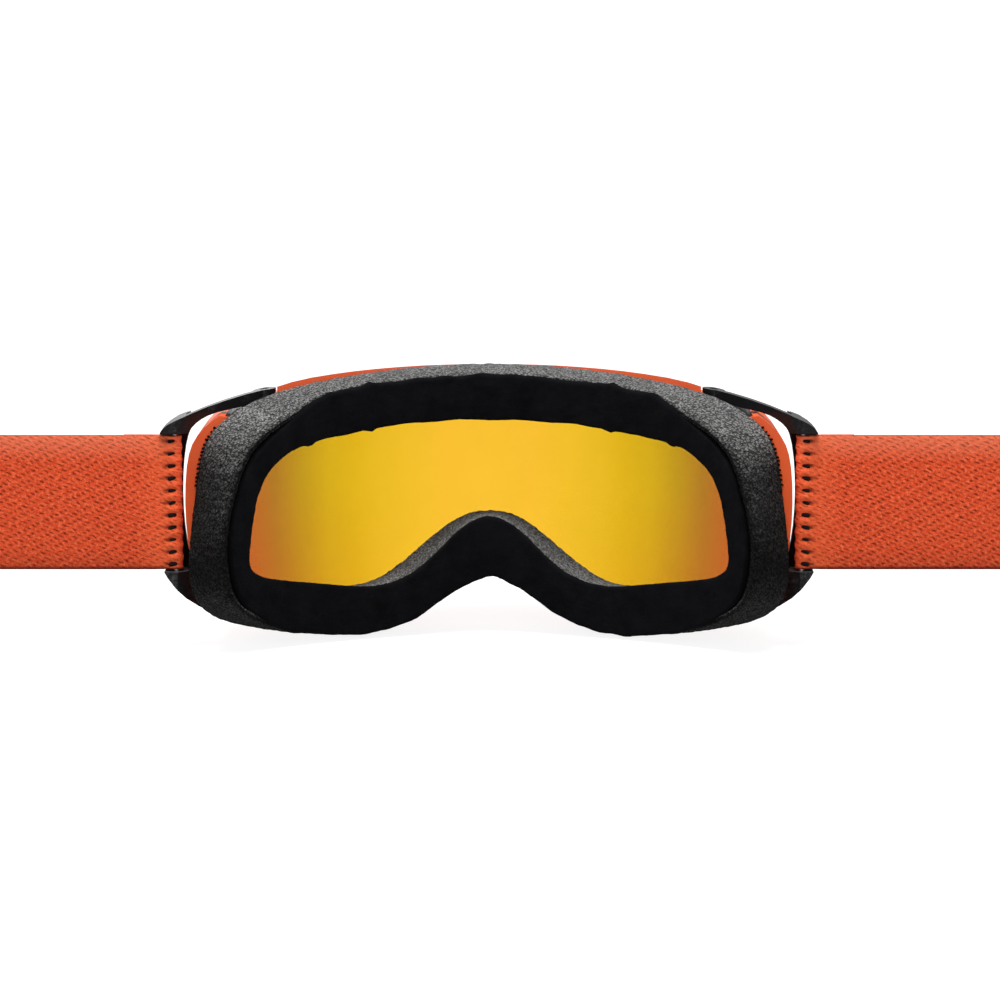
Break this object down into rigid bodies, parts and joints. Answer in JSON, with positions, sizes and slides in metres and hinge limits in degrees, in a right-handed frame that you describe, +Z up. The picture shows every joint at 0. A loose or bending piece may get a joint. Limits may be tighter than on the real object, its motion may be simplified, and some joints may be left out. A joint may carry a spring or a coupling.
{
  "type": "ski goggles",
  "caption": "Ski goggles with a curved double lens, flexible frame, face foam, hinged outriggers and a wide woven strap that opens at a rear clip.",
  "frame": {"origin": "centre of the whole object's box with the strap laid straight out to both sides", "axes": "+Z up, -Y the front of the lens, +Y the face side, +X the wearer's left"},
  "size_m": [0.524, 0.0839, 0.0785],
  "materials": {
    "frame_orange": "satin moulded urethane",
    "lens_amber": "clear amber",
    "lens_mirror": "mirror coat",
    "spacer_black": "closed-cell foam",
    "foam_grey": "open-cell foam",
    "fleece_black": "brushed fleece",
    "vent_foam": "open-cell foam",
    "plastic_black": "satin",
    "steel": "brushed",
    "webbing_orange": "woven elastic",
    "thread_black": "bonded thread"
  },
  "bodies": {
    "frame": {"frame_shell": "frame_orange", "inner_lens": "lens_amber", "outer_lens": "lens_mirror", "lens_spacer": "spacer_black", "face_foam": "foam_grey", "foam_facing": "fleece_black", "vent_foam_top": "vent_foam", "vent_foam_bottom_left": "vent_foam", "vent_foam_bottom_right": "vent_foam", "pivot_pins_left": "steel", "pivot_pins_right": "steel"},
    "outrigger_left": {"outrigger_left": "plastic_black", "strap_bar_left": "steel"},
    "strap_left": {"strap_left": "webbing_orange", "strap_stitches_left": "thread_black"},
    "adjuster_left": {"adjuster_left": "plastic_black", "strap_return_left": "webbing_orange", "return_stitches_left": "thread_black"},
    "clip_left": {"clip_male": "plastic_black"},
    "outrigger_right": {"outrigger_right": "plastic_black", "strap_bar_right": "steel"},
    "strap_right": {"strap_right": "webbing_orange", "strap_stitches_right": "thread_black"},
    "adjuster_right": {"adjuster_right": "plastic_black", "strap_return_right": "webbing_orange", "return_stitches_right": "thread_black"},
    "clip_right": {"clip_female": "plastic_black"}
  },
  "joints": [
    {"name": "outrigger_hinge_left", "type": "hinge", "parent": "frame", "child": "outrigger_left", "pos_m": [0.067, 0.00203, 0.00272], "axis": [0, 0, -1], "range_deg": [0, 25]},
    {"name": "strap_swivel_left", "type": "hinge", "parent": "outrigger_left", "child": "strap_left", "pos_m": [0.092, 0.02383, 0.00272], "axis": [0, 0, 1], "range_deg": [-6, 88]},
    {"name": "adjuster_slide_left", "type": "slide", "parent": "strap_left", "child": "adjuster_left", "axis": [1, 0, 0], "range_m": [-0.03, 0.03], "deforming": ["strap_return_left"]},
    {"name": "clip_swivel_left", "type": "hinge", "parent": "strap_left", "child": "clip_left", "pos_m": [0.236, 0.02258, 0.00272], "axis": [0, 0, 1], "range_deg": [-30, 30]},
    {"name": "outrigger_hinge_right", "type": "hinge", "parent": "frame", "child": "outrigger_right", "pos_m": [-0.067, 0.00203, 0.00272], "axis": [0, 0, 1], "range_deg": [0, 25]},
    {"name": "strap_swivel_right", "type": "hinge", "parent": "outrigger_right", "child": "strap_right", "pos_m": [-0.092, 0.02383, 0.00272], "axis": [0, 0, -1], "range_deg": [-6, 88]},
    {"name": "adjuster_slide_right", "type": "slide", "parent": "strap_right", "child": "adjuster_right", "axis": [-1, 0, 0], "range_m": [-0.03, 0.03], "deforming": ["strap_return_right"]},
    {"name": "clip_swivel_right", "type": "hinge", "parent": "strap_right", "child": "clip_right", "pos_m": [-0.236, 0.02258, 0.00272], "axis": [0, 0, -1], "range_deg": [-30, 30]}
  ]
}
